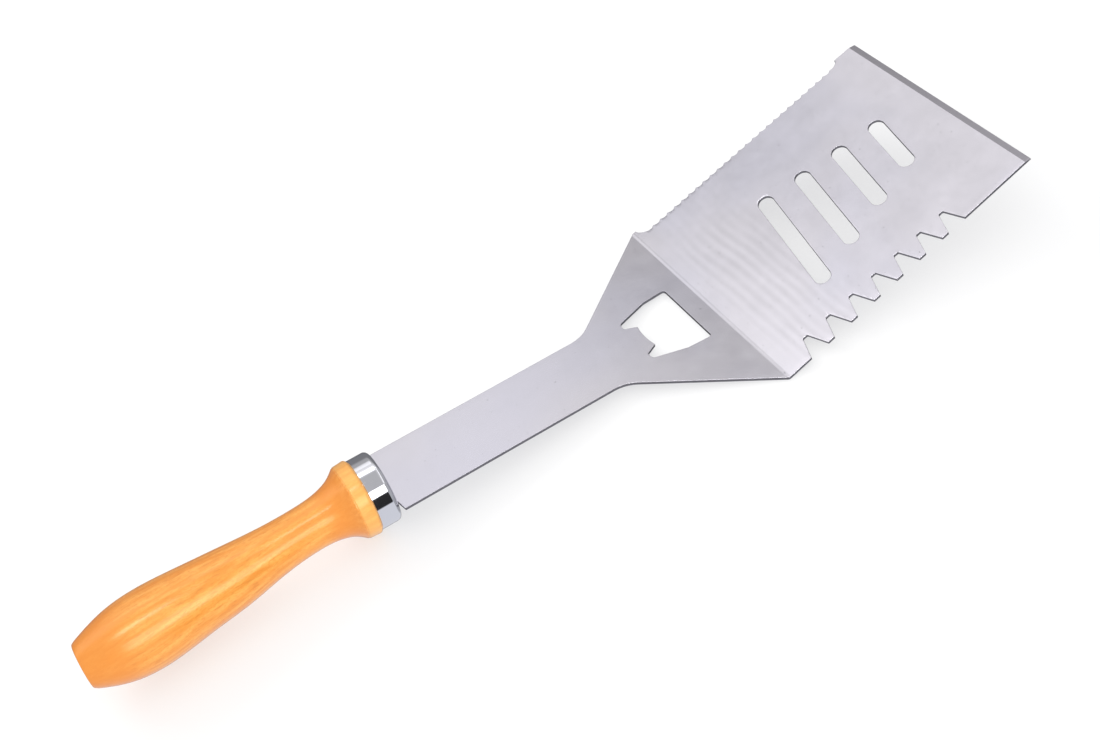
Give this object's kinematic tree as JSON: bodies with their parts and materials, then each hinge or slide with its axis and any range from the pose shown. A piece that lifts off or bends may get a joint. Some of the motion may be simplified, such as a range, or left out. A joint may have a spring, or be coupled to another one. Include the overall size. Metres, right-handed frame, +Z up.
{
  "type": "grill spatula",
  "caption": "Slotted steel grill spatula with a cranked blade, toothed and serrated sides, a bottle opener in the neck and a wooden handle.",
  "frame": {"origin": "on the surface that the spatula lies on, under the middle of its length and width", "axes": "+X from the handle to the blade's front edge, +Y to the left of someone holding the handle, +Z up from the surface it lies on"},
  "size_m": [0.3708, 0.1022, 0.0305],
  "materials": {
    "blade_steel": "satin",
    "ferrule_chrome": "polished",
    "handle_wood": "clear lacquer",
    "adhesive": "matte"
  },
  "bodies": {
    "root": {"blade": "blade_steel", "ferrule": "ferrule_chrome", "handle": "handle_wood", "tang_glue": "adhesive"}
  },
  "joints": []
}
